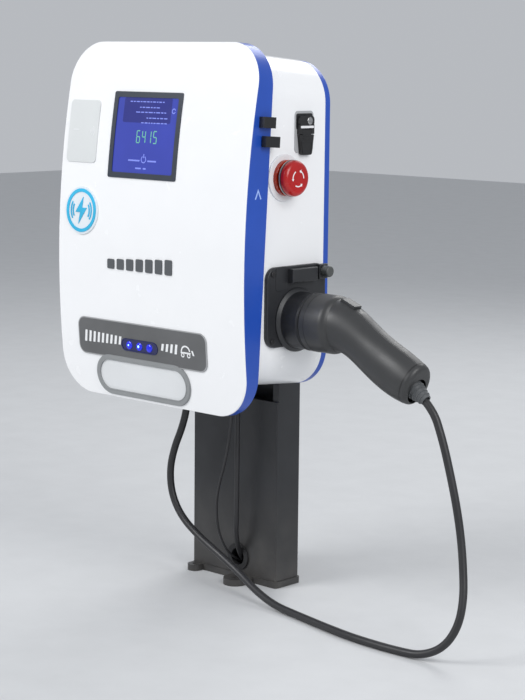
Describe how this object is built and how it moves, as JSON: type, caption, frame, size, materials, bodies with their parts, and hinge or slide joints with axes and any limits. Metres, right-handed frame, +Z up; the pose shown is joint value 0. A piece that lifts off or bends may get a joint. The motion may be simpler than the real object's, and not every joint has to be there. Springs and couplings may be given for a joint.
{
  "type": "ev charging post",
  "caption": "Short column carrying a rounded wall-box charger with a hinged front door, holstered charging gun, stop button and trailing cable.",
  "frame": {"origin": "centre of the column's foot on the ground, at the underside of the foot plate", "axes": "+Z up along the column, -Y towards the display side, +X towards the holster side"},
  "size_m": [0.7045, 0.2412, 0.8125],
  "materials": {
    "column_paint": "satin powder coat",
    "cap_plastic": "moulded",
    "grommet_rubber": "moulded",
    "zinc_steel": "zinc plated",
    "body_white": "glossy moulded",
    "trim_blue": "glossy moulded",
    "gasket_rubber": "foam seal",
    "hasp_black": "black powder coat",
    "lcd_frame": "moulded",
    "lcd_screen": "lit display",
    "board_green": "circuit board",
    "reader_grey": "fine texture",
    "badge_white": "glossy",
    "badge_cyan": "glossy",
    "bars_grey": "moulded",
    "strip_grey": "printed film",
    "led_blue": "lit window",
    "oval_grey": "moulded",
    "oval_light": "glossy moulded",
    "module_grey": "moulded",
    "toggle_black": "moulded",
    "gland_black": "moulded",
    "nut_brass": "turned",
    "estop_plate": "anodised",
    "estop_collar_red": "translucent",
    "estop_red": "glossy",
    "plunger_grey": "moulded",
    "lock_grey": "moulded",
    "lock_black": "moulded",
    "holster_black": "moulded",
    "gun_black": "soft-touch moulded",
    "contact_brass": "plated",
    "latch_steel": "stamped",
    "relief_rubber": "moulded",
    "cable_black": "extruded sheath"
  },
  "bodies": {
    "root": {"foot_plate": "column_paint", "column_channel": "column_paint", "column_front_covers": "column_paint", "column_cap": "cap_plastic", "cable_grommet": "grommet_rubber", "mount_fasteners": "zinc_steel", "flange_screws": "holster_black", "body_shell": "body_white", "rear_stripe_frame": "trim_blue", "back_plate": "zinc_steel", "door_gasket": "gasket_rubber", "body_hinges": "zinc_steel", "body_hasp": "hasp_black", "din_rails": "zinc_steel", "circuit_breaker": "module_grey", "energy_meter": "module_grey", "rail_modules": "module_grey", "terminal_blocks": "module_grey", "control_board": "board_green", "cable_glands": "gland_black", "panel_nuts": "nut_brass", "estop_escutcheon": "estop_plate", "estop_collar": "estop_collar_red", "estop_contact_block": "module_grey", "lock_bezel": "lock_grey", "holster_flange": "holster_black", "holster_collar": "holster_black", "holster_lock_housing": "holster_black", "charging_cable": "cable_black", "supply_cable": "cable_black", "data_cable": "cable_black"},
    "door": {"front_panel": "body_white", "side_band": "trim_blue", "lcd_bezel": "lcd_frame", "lcd_glass": "lcd_screen", "door_electronics": "board_green", "card_reader_pad": "reader_grey", "badge_disc": "badge_white", "badge_symbol": "badge_cyan", "level_bars": "bars_grey", "label_strip": "strip_grey", "led_window": "led_blue", "oval_frame": "oval_grey", "oval_plate": "oval_light", "door_hasp": "hasp_black", "door_hinge_leaves": "zinc_steel"},
    "gun": {"gun_shell_front": "gun_black", "gun_shell_rear": "gun_black", "gun_nose": "gun_black", "contact_pins": "contact_brass", "strain_relief": "relief_rubber"},
    "gun_button_body": {"gun_button": "holster_black"},
    "latch": {"latch_hook": "latch_steel"},
    "estop_slider": {"estop_plunger": "plunger_grey"},
    "estop_knob": {"estop_head": "estop_red"},
    "lock_core": {"lock_spindle": "lock_black"},
    "lock_handle": {"lock_lever": "lock_black"},
    "release_knob": {"holster_knob": "holster_black"},
    "toggle": {"breaker_toggle": "toggle_black"}
  },
  "joints": [
    {"name": "door_hinge", "type": "hinge", "parent": "root", "child": "door", "pos_m": [-0.189, -0.16091, 0.55195], "axis": [0, -0.0579, -0.9983], "range_deg": [0, 110]},
    {"name": "gun_slide", "type": "slide", "parent": "root", "child": "gun", "axis": [1, 0, 0], "range_m": [0, 0.07], "deforming": ["charging_cable"]},
    {"name": "gun_button_press", "type": "slide", "parent": "gun", "child": "gun_button_body", "axis": [-0.3665, 0, -0.9304], "range_m": [0, 0.004], "stiffness_N_per_m": 600},
    {"name": "latch_lift", "type": "hinge", "parent": "gun", "child": "latch", "pos_m": [0.234, -0.0982, 0.4603], "axis": [0, 1, 0], "range_deg": [0, 4]},
    {"name": "estop_push", "type": "slide", "parent": "root", "child": "estop_slider", "axis": [-1, 0, 0], "range_m": [0, 0.0045]},
    {"name": "estop_twist", "type": "hinge", "parent": "estop_slider", "child": "estop_knob", "pos_m": [0.2, -0.1227, 0.6275], "axis": [-1, 0, 0], "range_deg": [0, 45], "stiffness_Nm_per_rad": 0.05},
    {"name": "lock_turn", "type": "hinge", "parent": "root", "child": "lock_core", "pos_m": [0.183, -0.0832, 0.704], "axis": [1, 0, 0], "range_deg": [0, 90]},
    {"name": "lock_lever_lift", "type": "hinge", "parent": "lock_core", "child": "lock_handle", "pos_m": [0.1874, -0.0832, 0.692], "axis": [0, -1, 0], "range_deg": [0, 70]},
    {"name": "knob_pull", "type": "slide", "parent": "root", "child": "release_knob", "axis": [1, 0, 0], "range_m": [0, 0.004], "stiffness_N_per_m": 400},
    {"name": "breaker_switch", "type": "hinge", "parent": "root", "child": "toggle", "pos_m": [-0.0995, -0.1012, 0.62], "axis": [-1, 0, 0], "range_deg": [-20, 20]}
  ],
  "couplings": [
    {"joint": "latch_lift", "follows": "gun_button_press", "rad_per_m": 17.4}
  ]
}
